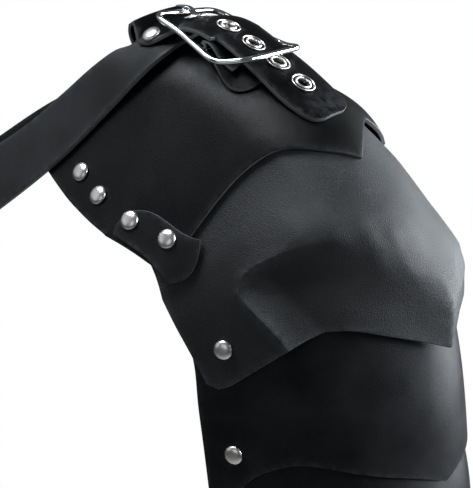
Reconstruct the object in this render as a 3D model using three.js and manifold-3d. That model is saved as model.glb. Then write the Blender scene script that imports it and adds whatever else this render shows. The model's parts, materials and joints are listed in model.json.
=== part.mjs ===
// Leather pauldron for one shoulder: a shoulder plate, three arm lames, a buckled top strap and a
// chest strap. Millimetres. +X points out along the arm's side, -Y to the wearer's front, +Z up.
// The origin is the seat on the underside of the shoulder plate, on the midline y = 0.
import * as THREE from 'three';
import { mergeVertices } from 'three/addons/utils/BufferGeometryUtils.js';
import Module from 'manifold-3d';

const LEATHER = 2.4;
const PLAY = 0.4;
const LAYER = LEATHER + PLAY;
const LOWER_LIFT = LEATHER;
const MIDDLE_LIFT = LOWER_LIFT + LAYER;
const UPPER_LIFT = MIDDLE_LIFT + LAYER;
const PLATE_LIFT = UPPER_LIFT + LAYER;
const TAB_THICK = 2.2;
const TAB_LIFT = PLATE_LIFT + PLAY + TAB_THICK;

const STRAP_WIDTH = 38;
const STRAP_BASE_WIDTH = 47;
const STRAP_NECK_WIDTH = 43;
const STRAP_THICK = 2.4;
const STRAP_ROLL = 4;
const STRAP_FORWARD = 3;
const BAND_WIDTH = 30.4;
const CHEST_WIDTH = 35.4;
const BAND_THICK = 2.6;
const CHAPE_WIDTH = 42;
const CHAPE_TONGUE_WIDTH = 50;
const CHAPE_THICK = 1.8;

const RIVET_HEAD = 11;
const RIVET_RISE = 2.4;
const RIVET_SHANK = 3.2;
const RIVET_BACK = 8.6;
const HOLE_HALF = 2.4;
const EYELET_OUTER = 14;
const EYELET_INNER = 7;
const EYELET_HOLE_HALF = 4.8;
const EYELET_PITCH = 17.6;
const EYELET_FIRST = -16.2;
const EYELETS = 5;

const BUCKLE_WIRE = 3.4;
const BUCKLE_BAR_ALONG = 4;
const BUCKLE_BAR_LIFT = 14.9;
const PRONG_WIDTH = 3.2;
const PRONG_THICK = 2.2;

// The form that the leather lies on: an arch swept down the shoulder and the arm. Each station gives the
// midline point, the radius of the arch and the angle at which the arch runs on into straight legs.
const FORM = [
  { x: -120, z: -22, radius: 34, spread: 58 },
  { x: -80, z: -16, radius: 34, spread: 58 },
  { x: -48, z: -11, radius: 33, spread: 58 },
  { x: -20, z: -7.6, radius: 32, spread: 58 },
  { x: 0, z: -8.6, radius: 32, spread: 58 },
  { x: 40, z: -18, radius: 34, spread: 59 },
  { x: 70, z: -31, radius: 39, spread: 61 },
  { x: 95, z: -49.5, radius: 45, spread: 64 },
  { x: 120, z: -80.5, radius: 50, spread: 67 },
  { x: 138, z: -119.5, radius: 54, spread: 71 },
  { x: 147, z: -161.5, radius: 56, spread: 74 },
  { x: 150, z: -213.5, radius: 57, spread: 76 },
  { x: 151, z: -298.5, radius: 57, spread: 76 },
  { x: 151, z: -360, radius: 56, spread: 76 },
];
const SEAT_STATION = 4;

// A smooth curve through a short table of points that never overshoots them.
function through(points) {
  const n = points.length;
  const step = [];
  const rise = [];
  for (let i = 0; i < n - 1; i += 1) {
    step.push(points[i + 1][0] - points[i][0]);
    rise.push((points[i + 1][1] - points[i][1]) / step[i]);
  }
  const slope = [rise[0]];
  for (let i = 1; i < n - 1; i += 1) {
    const turning = rise[i - 1] * rise[i] <= 0;
    const a = 2 * step[i] + step[i - 1];
    const b = step[i] + 2 * step[i - 1];
    slope.push(turning ? 0 : (a + b) / (a / rise[i - 1] + b / rise[i]));
  }
  slope.push(rise[n - 2]);
  return (x) => {
    if (x <= points[0][0]) return points[0][1];
    if (x >= points[n - 1][0]) return points[n - 1][1];
    let i = 0;
    while (x > points[i + 1][0]) i += 1;
    const t = (x - points[i][0]) / step[i];
    const keep = (1 + 2 * t) * (1 - t) * (1 - t);
    const lean = t * (1 - t) * (1 - t) * step[i] * slope[i];
    const arrive = t * t * (t - 1) * step[i] * slope[i + 1];
    return keep * points[i][1] + lean + (1 - keep) * points[i + 1][1] + arrive;
  };
}

const spine = new THREE.SplineCurve(FORM.map((row) => new THREE.Vector2(row.x, row.z)));
spine.arcLengthDivisions = (FORM.length - 1) * 40;
const spineLengths = spine.getLengths();
const seatLength = spineLengths[SEAT_STATION * 40];
const spineLength = spine.getLength();
const stationAlong = FORM.map((row, i) => spineLengths[i * 40] - seatLength);
const archRadius = through(FORM.map((row, i) => [stationAlong[i], row.radius]));
const archSpread = through(FORM.map((row, i) => [stationAlong[i], row.spread]));

// Midline point, direction and outward normal at a distance along the midline from the seat.
function spineAt(along) {
  const at = THREE.MathUtils.clamp((along + seatLength) / spineLength, 0, 1);
  const point = spine.getPointAt(at);
  const tangent = spine.getTangentAt(at);
  return {
    point: new THREE.Vector3(point.x, 0, point.y),
    normal: new THREE.Vector3(-tangent.y, 0, tangent.x),
  };
}

// Point of the form: mm round from the midline (front positive), mm along it, mm lifted off it.
function onForm(round, along, lift) {
  const { point, normal } = spineAt(along);
  const radius = archRadius(along);
  const spread = THREE.MathUtils.degToRad(archSpread(along));
  const angle = Math.min(Math.abs(round) / radius, spread);
  const leg = Math.max(Math.abs(round) - radius * spread, 0);
  const side = (radius + lift) * Math.sin(angle) + leg * Math.cos(spread);
  const up = (radius + lift) * Math.cos(angle) - radius - leg * Math.sin(spread);
  return point.addScaledVector(normal, up).setY(-Math.sign(round) * side);
}

function outOfForm(round, along) {
  return onForm(round, along, 1).sub(onForm(round, along, 0)).normalize();
}

function solid(points, triangles) {
  const geometry = new THREE.BufferGeometry();
  const numbers = points.flatMap((p) => [p.x, p.y, p.z]);
  geometry.setAttribute('position', new THREE.Float32BufferAttribute(numbers, 3));
  geometry.setIndex(triangles.flat());
  return facingOut(geometry);
}

function bare(geometry) {
  geometry.deleteAttribute('normal');
  geometry.deleteAttribute('uv');
  return facingOut(mergeVertices(geometry, 1e-4));
}

function facingOut(geometry) {
  const position = geometry.getAttribute('position');
  const index = geometry.getIndex().array;
  const [a, b, c] = [new THREE.Vector3(), new THREE.Vector3(), new THREE.Vector3()];
  let volume = 0;
  for (let i = 0; i < index.length; i += 3) {
    a.fromBufferAttribute(position, index[i]);
    b.fromBufferAttribute(position, index[i + 1]);
    c.fromBufferAttribute(position, index[i + 2]);
    volume += a.dot(b.cross(c));
  }
  if (volume < 0) {
    for (let i = 0; i < index.length; i += 3) [index[i], index[i + 1]] = [index[i + 1], index[i]];
  }
  geometry.computeVertexNormals();
  return geometry;
}

// A sheet of even thickness from two grids of points, with cells left out as holes. A looped sheet
// runs from its last row on into its first.
function sheetSolid(outer, inner, missing = [], looped = false) {
  const rows = outer.length;
  const columns = outer[0].length;
  const points = [...outer.flat(), ...inner.flat()];
  const top = (r, c) => (r % rows) * columns + c;
  const under = (r, c) => rows * columns + top(r, c);
  const cellRows = looped ? rows : rows - 1;
  const absent = new Set(missing.map(([r, c]) => r * columns + c));
  const present = (r, c) => {
    const row = looped ? (r + rows) % rows : r;
    return row >= 0 && row < cellRows && c >= 0 && c < columns - 1 && !absent.has(row * columns + c);
  };
  const triangles = [];
  const quad = (p, q, r, s) => triangles.push([p, q, r], [p, r, s]);
  for (let r = 0; r < cellRows; r += 1) {
    for (let c = 0; c < columns - 1; c += 1) {
      if (!present(r, c)) continue;
      quad(top(r, c), top(r, c + 1), top(r + 1, c + 1), top(r + 1, c));
      quad(under(r, c), under(r + 1, c), under(r + 1, c + 1), under(r, c + 1));
      if (!present(r - 1, c)) quad(top(r, c), under(r, c), under(r, c + 1), top(r, c + 1));
      if (!present(r + 1, c)) quad(top(r + 1, c), top(r + 1, c + 1), under(r + 1, c + 1), under(r + 1, c));
      if (!present(r, c - 1)) quad(top(r, c), top(r + 1, c), under(r + 1, c), under(r, c));
      if (!present(r, c + 1)) quad(top(r, c + 1), under(r, c + 1), under(r + 1, c + 1), top(r + 1, c + 1));
    }
  }
  return solid(points, triangles);
}

function mirrored(values) {
  return [...values.slice(1).reverse().map((v) => -v), ...values];
}

// A leather piece on the form. place(u, v) gives { round, along }, liftAt(u, v) its outer face. Each
// hole pulls the nearest cell of the grid square about the rivet and leaves that cell out.
function formSheet({ us, vs, place, liftAt, thick, holes }) {
  const grid = vs.map((v) => us.map((u) => ({ ...place(u, v), lift: liftAt(u, v) })));
  const missing = [];
  for (const hole of holes) {
    let best = Infinity;
    let cell = [0, 0];
    for (let r = 0; r < vs.length - 1; r += 1) {
      for (let c = 0; c < us.length - 1; c += 1) {
        const corners = [grid[r][c], grid[r][c + 1], grid[r + 1][c], grid[r + 1][c + 1]];
        const round = corners.reduce((sum, p) => sum + p.round / 4, 0);
        const along = corners.reduce((sum, p) => sum + p.along / 4, 0);
        const away = Math.hypot(round - hole.round, along - hole.along);
        if (away < best) [best, cell] = [away, [r, c]];
      }
    }
    const [r, c] = cell;
    const turn = Math.sign(grid[r][c + 1].round - grid[r][c].round);
    const lift = grid[r][c].lift;
    const before = onForm(hole.round, hole.along - 1, lift - thick);
    const reach = 2 * HOLE_HALF / onForm(hole.round, hole.along + 1, lift - thick).distanceTo(before);
    for (const [dr, dc] of [[0, 0], [0, 1], [1, 0], [1, 1]]) {
      const corner = grid[r + dr][c + dc];
      corner.round = hole.round + turn * (dc ? HOLE_HALF : -HOLE_HALF);
      corner.along = hole.along + (dr ? reach : -reach);
    }
    missing.push(cell);
  }
  const outer = grid.map((row) => row.map((p) => onForm(p.round, p.along, p.lift)));
  const inner = grid.map((row) => row.map((p) => onForm(p.round, p.along, p.lift - thick)));
  return sheetSolid(outer, inner, missing);
}

// Heights over the form from a small table: a row for each distance down the lame, a column for each
// distance round it. The fold column is a crest, so the curve breaks there.
function reliefFrom(columns, rows, foldColumn) {
  const split = columns.indexOf(foldColumn);
  const across = rows.map(({ heights }) => {
    const pairs = columns.map((u, i) => [u, heights[i]]);
    const inside = through(pairs.slice(0, split + 1));
    const outside = through(pairs.slice(split));
    return (u) => (u <= foldColumn ? inside(u) : outside(u));
  });
  return (u, v) => through(rows.map((row, i) => [row.down, across[i](Math.abs(u))]))(v);
}

function lamePiece({ us, vs, half, upper, lower, fold, relief, lift, holes }) {
  const shiftDown = through([[0, 0], [fold.from, fold.start], [1, fold.end]]);
  const shiftAcross = through([[fold.column - 0.4, 0], [fold.column - 0.12, 1], [fold.column, 1],
    [fold.column + 0.3, 0]]);
  const place = (u, v) => {
    const along = upper(Math.abs(u)) + v * (lower(Math.abs(u)) - upper(Math.abs(u)));
    const shift = shiftDown(v) * shiftAcross(Math.abs(u));
    return { round: u * half(along) + Math.sign(u) * shift, along };
  };
  const liftAt = (u, v) => lift + relief(u, v);
  return formSheet({ us, vs, place, liftAt, thick: LEATHER, holes });
}

// Rivet places on the front half of the form. The back half has the same ones.
const RIVETS = {
  plate_upper: { round: 86, along: -57 },
  plate_lower: { round: 98, along: -39 },
  tab_inner: { round: 106, along: 14 },
  tab_outer: { round: 104, along: 50 },
  lame_upper: { round: 114, along: 180 },
  lame_middle: { round: 118, along: 268 },
};
const both = (...names) => names.flatMap((name) => (
  [RIVETS[name], { ...RIVETS[name], round: -RIVETS[name].round }]));

// Shoulder plate.
const plateHalf = through([[-90, 81], [-81, 87], [-74, 94], [-66, 100], [-49, 109], [-35, 116],
  [-14, 119.5], [18, 120], [48, 121], [62, 119]]);
const plateNeck = through([[0, -22], [0.12, -24.5], [0.16, -29], [0.31, -46], [0.63, -70], [0.85, -83],
  [1, -90]]);
const plateOuter = through([[0, 98], [0.04, 103.5], [0.09, 97], [0.168, 89], [0.21, 81.5], [0.25, 76],
  [0.294, 72], [0.353, 69], [0.445, 66], [0.54, 64.6], [0.64, 64.6], [0.73, 65], [0.81, 66], [0.9, 64],
  [0.97, 58], [1, 51]]);
const plateOuterBack = through([[0, 98], [0.04, 93.5], [0.09, 88], [0.14, 84], [0.19, 81], [0.24, 86],
  [0.29, 90], [0.36, 92], [0.45, 86], [0.55, 76], [0.65, 69], [0.75, 66.5], [0.81, 66], [0.9, 64],
  [0.97, 58], [1, 51]]);
const platePlace = (u, v) => {
  const neck = plateNeck(Math.abs(u));
  const along = neck + v * ((u < 0 ? plateOuterBack(-u) : plateOuter(u)) - neck);
  return { round: u * plateHalf(along), along };
};
// Behind the crest the plate's end stands off the lame.
const standOff = through([[0.14, 0], [0.19, 2], [0.26, 5.4], [0.36, 5.4], [0.5, 2], [0.6, 0]]);
const standOffDown = through([[0.48, 0], [0.62, 0.4], [0.75, 1], [0.86, 1], [0.94, 0.7], [1, 0.3]]);
const plateLift = (u, v) => PLATE_LIFT + (u < 0 ? standOff(-u) * standOffDown(v) : 0);
const plate = formSheet({
  us: mirrored([0, 0.04, 0.09, 0.14, 0.19, 0.24, 0.29, 0.36, 0.45, 0.55, 0.65, 0.75, 0.83, 0.89, 0.95, 1]),
  vs: [0, 0.1, 0.2, 0.25, 0.35, 0.48, 0.62, 0.75, 0.86, 0.94, 1],
  place: platePlace,
  liftAt: plateLift,
  thick: LEATHER,
  holes: both('plate_upper', 'plate_lower', 'tab_inner', 'tab_outer'),
});

// Tabs at the plate's lower corners, over the upper lame.
const tabTop = through([[4, 106], [11, 101], [19, 97.5], [25, 96], [53, 96.8], [68, 95.6], [76, 93],
  [102, 93]]);
const tabSide = through([[4, 117], [48, 119.4], [76, 123], [88, 123.5], [102, 123]]);
const tabStart = through([[0, 11], [0.5, 5], [1, 7]]);
const tabEnd = through([[0, 76], [0.25, 85], [0.62, 100], [0.75, 100], [0.88, 94], [1, 80]]);
const tabDown = through([[0, TAB_LIFT], [60, TAB_LIFT], [69, TAB_LIFT - 0.2], [78, TAB_LIFT - 1.6],
  [88, TAB_LIFT - 2.2], [102, TAB_LIFT - 2.3]]);
function tabPiece(side) {
  const place = (u, v) => {
    const along = tabStart(u) + v * (tabEnd(u) - tabStart(u));
    return { round: side * (tabTop(along) + u * (tabSide(along) - tabTop(along))), along };
  };
  return formSheet({
    us: [0, 0.17, 0.34, 0.56, 0.78, 1],
    vs: [0, 0.06, 0.16, 0.27, 0.37, 0.46, 0.55, 0.64, 0.73, 0.82, 0.91, 1],
    place,
    liftAt: (u, v) => tabDown(place(u, v).along),
    thick: TAB_THICK,
    holes: ['tab_inner', 'tab_outer'].map((name) => (
      { ...RIVETS[name], round: side * RIVETS[name].round })),
  });
}

// Upper lame.
const upperColumns = [0, 0.15, 0.3, 0.42, 0.51, 0.63, 0.72, 0.85, 1];
const upperRelief = reliefFrom(upperColumns, [
  { down: 0, heights: [0, 0, 0, 0, 0, 0, 0, 0, 0] },
  { down: 0.22, heights: [0, 0, 0, 0, 0, 0, 0, 0, 0] },
  { down: 0.42, heights: [4.2, 3.4, 5, 5, 4.4, 2.4, 1, 0, 0] },
  { down: 0.55, heights: [7.4, 9.4, 11, 9.8, 8.6, 4.4, 1.4, 0, 0] },
  { down: 0.6, heights: [8.8, 10.8, 10.4, 11, 10, 5.6, 1.6, 0, 0] },
  { down: 0.66, heights: [10.6, 10.8, 5.6, 4.6, 3.6, 6.4, 1.6, 0, 0] },
  { down: 0.75, heights: [12.8, 8.8, 2.2, 0.6, 0.2, 8, 1.6, 0, 0] },
  { down: 0.84, heights: [13.6, 5.4, 1.4, 0.9, 0.6, 9, 1.6, 0, 0] },
  { down: 1, heights: [7, 4.2, 2.6, 1.6, 0.8, 9.6, 2.2, 0.5, 0.5] },
], 0.63);
const upperReliefBack = reliefFrom(upperColumns, [
  { down: 0, heights: [0, 0, 0, 0, 0, 0, 0, 0, 0] },
  { down: 0.22, heights: [0, 0, 0, 0, 0, 0, 0, 0, 0] },
  { down: 0.34, heights: [2.2, 1.5, 1, 0.6, 0.3, 0, 0, 0, 0] },
  { down: 0.42, heights: [4, 2.6, 1.5, 1.2, 1, 0.8, 0.5, 0, 0] },
  { down: 0.56, heights: [7.6, 5, 2.4, 2.2, 2, 2, 1, 0, 0] },
  { down: 0.68, heights: [11.6, 9.6, 4.6, 4, 3.5, 4, 1.6, 0, 0] },
  { down: 0.76, heights: [13, 12, 6.8, 5.5, 4, 5, 2, 0, 0] },
  { down: 0.84, heights: [13.6, 10.6, 9, 6.5, 4.5, 5, 2, 0, 0] },
  { down: 1, heights: [7, 1.2, 4, 3, 1.5, 5, 2.5, 0.5, 0.5] },
], 0.63);
const upperLame = lamePiece({
  us: mirrored([0, 0.05, 0.11, 0.18, 0.26, 0.34, 0.42, 0.5, 0.57, 0.63, 0.69, 0.76, 0.83, 0.9, 0.95, 1]),
  vs: [0, 0.12, 0.24, 0.34, 0.43, 0.5, 0.55, 0.6, 0.66, 0.75, 0.84, 0.92, 1],
  half: through([[36, 119], [47, 121], [84, 131], [148, 135], [184, 133], [213, 129]]),
  upper: through([[0, 74], [0.22, 57], [0.45, 42], [0.75, 38], [1, 40]]),
  lower: through([[0, 209], [0.05, 205.5], [0.17, 197], [0.35, 187], [0.42, 184.5], [0.51, 182.5],
    [0.57, 185], [0.63, 188.5], [0.7, 193.5], [0.8, 203], [0.95, 218], [1, 213]]),
  fold: { column: 0.63, from: 0.64, start: 7, end: -10 },
  relief: (u, v) => (u < 0 ? upperReliefBack(u, v) : upperRelief(u, v)),
  lift: UPPER_LIFT,
  holes: both('tab_outer', 'lame_upper'),
});

// Middle lame.
const middleRelief = reliefFrom([0, 0.2, 0.4, 0.58, 0.7, 0.8, 1], [
  { down: 0, heights: [0, 0, 0, 0, 0, 0, 0] },
  { down: 0.4, heights: [-1, -0.6, 0, 0, 0, 0, 0] },
  { down: 0.65, heights: [0.6, 0.4, 0, 0, 0.6, 0, 0] },
  { down: 1, heights: [2.4, 2.2, 1, 0.2, 2.6, 0, 0] },
], 0.7);
const middleLame = lamePiece({
  us: mirrored([0, 0.06, 0.13, 0.21, 0.3, 0.4, 0.5, 0.6, 0.7, 0.77, 0.83, 0.89, 0.95, 1]),
  vs: [0, 0.12, 0.25, 0.38, 0.5, 0.62, 0.74, 0.88, 1],
  half: through([[150, 133], [185, 134.5], [204, 136], [237, 138], [261, 137], [300, 133.5]]),
  upper: through([[0, 174], [0.17, 166], [0.35, 155], [0.5, 150], [0.7, 154], [0.85, 160], [1, 162]]),
  lower: through([[0, 284.5], [0.05, 281.5], [0.2, 274.5], [0.34, 271], [0.5, 267], [0.6, 268],
    [0.7, 273], [0.8, 281], [0.95, 301], [1, 297]]),
  fold: { column: 0.7, from: 0.6, start: 4, end: 0 },
  relief: middleRelief,
  lift: MIDDLE_LIFT,
  holes: both('lame_upper', 'lame_middle'),
});

// Lower lame.
const lowerRelief = reliefFrom([0, 0.2, 0.4, 0.58, 0.7, 0.8, 1], [
  { down: 0, heights: [0, 0, 0, 0, 0, 0, 0] },
  { down: 0.24, heights: [0, 0.4, 0.2, 0, 0, 0, 0] },
  { down: 0.32, heights: [5, 4.4, 1, 0, 0, 0, 0] },
  { down: 0.46, heights: [7, 7, 2.2, 0.3, 0.3, 0, 0] },
  { down: 0.65, heights: [8.6, 8, 3, 0.6, 1, 0, 0] },
  { down: 1, heights: [9, 8, 3.5, 1, 2, 0.5, 0.5] },
], 0.7);
const lowerLame = lamePiece({
  us: mirrored([0, 0.06, 0.13, 0.21, 0.3, 0.4, 0.5, 0.6, 0.7, 0.79, 0.86, 0.93, 1]),
  vs: [0, 0.15, 0.3, 0.45, 0.6, 0.74, 0.88, 1],
  half: through([[240, 134], [268, 135.5], [300, 134.5], [340, 132], [378, 128]]),
  upper: through([[0, 258], [0.17, 250], [0.35, 242], [0.6, 238], [0.75, 244], [0.9, 250], [1, 252]]),
  lower: through([[0, 364], [0.05, 360.5], [0.2, 352.5], [0.34, 349], [0.5, 345], [0.6, 346],
    [0.7, 351], [0.8, 359], [0.95, 379], [1, 375]]),
  fold: { column: 0.7, from: 0.6, start: 4, end: 0 },
  relief: lowerRelief,
  lift: LOWER_LIFT,
  holes: both('lame_middle'),
});

// Strap coordinates: along and lift on the midline, across towards the front from the strap's own middle,
// rolled about that middle.
function atStrap(along, lift, across, roll = STRAP_ROLL, sag = 0) {
  const { point, normal } = spineAt(along);
  const turn = THREE.MathUtils.degToRad(roll);
  point.addScaledVector(normal, lift - sag + across * Math.sin(turn));
  return point.setY(-STRAP_FORWARD - across * Math.cos(turn));
}

// A strap along a path of { along, lift } mid-thickness points. rows are distances along that path, and
// sagAt is the drop of the strap's edge at the distance reach from the midline.
function strapPiece({ path, rows, acrossAt, reach, sagAt, rollOf, thick, missing }) {
  const outer = [];
  const inner = [];
  const length = path.getLength();
  for (const distance of rows) {
    const at = THREE.MathUtils.clamp(distance / length, 0, 1);
    const point = path.getPointAt(at);
    const tangent = path.getTangentAt(at);
    const faces = [thick / 2, -thick / 2].map((offset) => {
      const along = point.x + tangent.y * offset;
      const lift = point.y - tangent.x * offset;
      const place = (w) => atStrap(along, lift, w, rollOf(distance),
        sagAt(distance) * ((w + STRAP_FORWARD) / reach) ** 2);
      return acrossAt(distance).map(place);
    });
    outer.push(faces[0]);
    inner.push(faces[1]);
  }
  return sheetSolid(outer, inner, missing);
}

function curveOf(pairs) {
  const curve = new THREE.SplineCurve(pairs.map(([along, lift]) => new THREE.Vector2(along, lift)));
  curve.arcLengthDivisions = 600;
  return curve;
}

function distanceTo(curve, along, from = 0) {
  const length = curve.getLength();
  const forward = curve.getPointAt(from / length).x > along;
  let distance = from;
  while ((curve.getPointAt(distance / length).x > along) === forward) distance += 0.05;
  return distance;
}

// Top strap: a tongue with eyelets that widens into a base, which folds round the neck band and runs
// back under it.
const strapPath = curveOf([
  [77.5, 12.5], [70, 12.5], [60, 13], [54, 13.6], [47, 14.4], [40, 15.4], [33, 16.3], [26, 17.4],
  [19, 18.8], [13, 20], [5, 21.2], [-2, 21.9], [-8, 22.1], [-14, 21.4], [-20, 20.1], [-26, 18.7],
  [-30, 18.2], [-34, 18.1], [-37.6, 18.3], [-39.8, 20.4], [-42.8, 22.8], [-46.4, 21.4], [-48, 18],
  [-46.8, 14.6], [-43.2, 12.5], [-39.5, 12.2], [-34, 12.3],
  [-27, 12.3],
]);
const strapLength = strapPath.getLength();
const eyeletAlong = Array.from(
  { length: EYELETS }, (unused, i) => EYELET_FIRST + i * EYELET_PITCH).reverse();
const eyeletDistance = eyeletAlong.map((along) => distanceTo(strapPath, along));
const FOLD_BEND = 13.4;
const bendStart = distanceTo(strapPath, -42.8);
const bend = (part) => bendStart + part * FOLD_BEND;
const shoulder = distanceTo(strapPath, 7);
const FOLD_RIVET_ALONG = -31.8;
const FOLD_RIVET_ACROSS = 18.4;
const foldTop = distanceTo(strapPath, FOLD_RIVET_ALONG);
const foldUnder = distanceTo(strapPath, FOLD_RIVET_ALONG, bend(1));
const aroundHoles = (centres, half) => centres.flatMap((d) => [d - half, d + half]);
const strapRows = [0, 1, 3, 6.5, ...aroundHoles(eyeletDistance, EYELET_HOLE_HALF), shoulder, shoulder + 0.7,
  ...aroundHoles([foldTop, foldUnder], HOLE_HALF),
  bendStart - 5.9, bendStart - 2.4, bendStart, ...[0.28, 0.54, 0.8, 1].map(bend),
  strapLength].sort((a, b) => a - b);
const strapHalf = through([[0, 7], [1, 10.5], [3, 14], [6.5, 17], [12, STRAP_WIDTH / 2],
  [shoulder, STRAP_WIDTH / 2], [shoulder + 0.7, STRAP_NECK_WIDTH / 2],
  [distanceTo(strapPath, -22), STRAP_NECK_WIDTH / 2],
  [distanceTo(strapPath, -28), STRAP_BASE_WIDTH / 2], [bendStart - 6, STRAP_BASE_WIDTH / 2],
  [bendStart, 21], [bend(0.5), 20.4], [bend(1), 20], [strapLength, 20]]);
const SAG_REACH = 22;
// Under the band the holes lie further in, on the line of the leaning rivets. The tongue's back edge is
// further from the eyelets than its front edge.
const FOLD_LEAN = { 1: 3.2, '-1': 2 };
const TONGUE_SKEW = 2;
const holeIn = through([[bendStart, 0], [bend(1), 1]]);
const skewAt = through([[0, 0], [8, TONGUE_SKEW], [shoulder, TONGUE_SKEW], [shoulder + 0.7, 0],
  [bendStart, 0], [bend(1), 0.8], [strapLength, 0.8]]);
function strapAcross(distance) {
  const [back, front] = [-1, 1].map((sign) => {
    const half = strapHalf(distance) - sign * skewAt(distance);
    const middle = Math.min(EYELET_HOLE_HALF, half * 0.4);
    const hole = FOLD_RIVET_ACROSS - holeIn(distance) * FOLD_LEAN[sign];
    const near = Math.min(hole - HOLE_HALF, middle + (half - middle) * 0.62);
    const far = Math.min(hole + HOLE_HALF, middle + (half - middle) * 0.9);
    return [middle, (middle + near) / 2, near, far, half];
  });
  return [...back.map((w) => -w).reverse(), ...front];
}
const strapSag = through([[77, 5.3], [54, 5], [44, 4], [34, 2.8], [26, 1.8], [16, 0.8], [8, 0.4],
  [-2, 0.4], [-10, 1.4], [-18, 3], [-26, 5.2], [-37.6, 5.2], [-39.8, 3.6], [-42.8, 1.2]]
  .map(([along, sag]) => [distanceTo(strapPath, along), sag])
  .concat([[bend(0.5), 2.4], [bend(1), 6.2], [strapLength, 6.4]]));
function foldRivet(sign) {
  const layer = (distance, offset, across) => {
    const lift = strapPath.getPointAt(distance / strapLength).y + offset;
    const sag = strapSag(distance) * ((sign * across + STRAP_FORWARD) / SAG_REACH) ** 2;
    return atStrap(FOLD_RIVET_ALONG, lift, sign * across, 0, sag);
  };
  const top = layer(foldTop, STRAP_THICK / 2, FOLD_RIVET_ACROSS + 0.5);
  const bottom = layer(foldUnder, -STRAP_THICK / 2 - 0.06, FOLD_RIVET_ACROSS - FOLD_LEAN[sign] - 0.5);
  return { top, bottom, middle: top.clone().add(bottom).multiplyScalar(0.5) };
}
const strapRoll = through([[77, 0], [50, 0], [36, 1.5], [20, STRAP_ROLL], [-12, STRAP_ROLL],
  [-29, 0], [-45, 0]]
  .map(([along, roll]) => [distanceTo(strapPath, along), roll]));
const rowAt = (distance) => strapRows.findIndex((row) => Math.abs(row - distance) < 1e-6);
const topStrap = strapPiece({
  path: strapPath,
  rows: strapRows,
  acrossAt: strapAcross,
  reach: SAG_REACH,
  sagAt: strapSag,
  rollOf: strapRoll,
  thick: STRAP_THICK,
  missing: [
    ...eyeletDistance.map((d) => [rowAt(d - EYELET_HOLE_HALF), 4]),
    ...[foldTop, foldUnder].flatMap((d) => [1, 7].map((column) => [rowAt(d - HOLE_HALF), column])),
  ],
});

// Chape: the leather loop that holds the buckle's centre bar. Its slot lets the prong turn.
const loop = BUCKLE_WIRE / 2 + 0.35 + CHAPE_THICK / 2;
const chapePath = curveOf([
  [38, 12.1], [30, 12.1], [18, 12.1], [8, 12],
  [BUCKLE_BAR_ALONG, BUCKLE_BAR_LIFT - loop],
  [BUCKLE_BAR_ALONG - loop * 0.71, BUCKLE_BAR_LIFT - loop * 0.71],
  [BUCKLE_BAR_ALONG - loop, BUCKLE_BAR_LIFT],
  [BUCKLE_BAR_ALONG - loop * 0.71, BUCKLE_BAR_LIFT + loop * 0.71],
  [BUCKLE_BAR_ALONG, BUCKLE_BAR_LIFT + loop],
  [7.5, 17.4], [13, 15.6], [18, 14.4], [24, 14.2],
]);
const chapeLength = chapePath.getLength();
const turnStart = distanceTo(chapePath, BUCKLE_BAR_ALONG + 3.5);
const turnEnd = turnStart + loop * Math.PI + 7;
const chapeRows = [0, 1.5, 4, 8, 14, 21,
  ...Array.from({ length: 10 }, (unused, i) => turnStart + (turnEnd - turnStart) * i / 9),
  turnEnd + 5, turnEnd + 10, chapeLength];
const chapeHalf = through([[0, 17], [1.5, 20], [4, 23], [8, CHAPE_TONGUE_WIDTH / 2],
  [18, CHAPE_TONGUE_WIDTH / 2], [turnStart, CHAPE_WIDTH / 2], [chapeLength, CHAPE_WIDTH / 2]]);
const chapeSag = through([[0, 5.4], [12, 5.2], [turnStart - 8, 1.6], [turnStart, 0], [turnEnd, 0],
  [turnEnd + 8, 1.8], [chapeLength, 2.6]]);
const chapeRoll = through([[0, 0], [turnStart - 8, 0], [turnStart, STRAP_ROLL], [turnEnd, STRAP_ROLL],
  [turnEnd + 8, 0], [chapeLength, 0]]);
const chape = strapPiece({
  path: chapePath,
  rows: chapeRows,
  acrossAt: (distance) => {
    const half = chapeHalf(distance);
    return [-half, -half * 0.75, -half * 0.45, -3, 3, half * 0.45, half * 0.75, half];
  },
  reach: CHAPE_WIDTH / 2,
  sagAt: chapeSag,
  rollOf: chapeRoll,
  thick: CHAPE_THICK,
  missing: [6, 7, 8, 9, 10, 11, 12, 13, 14].map((row) => [row, 3]),
});

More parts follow.
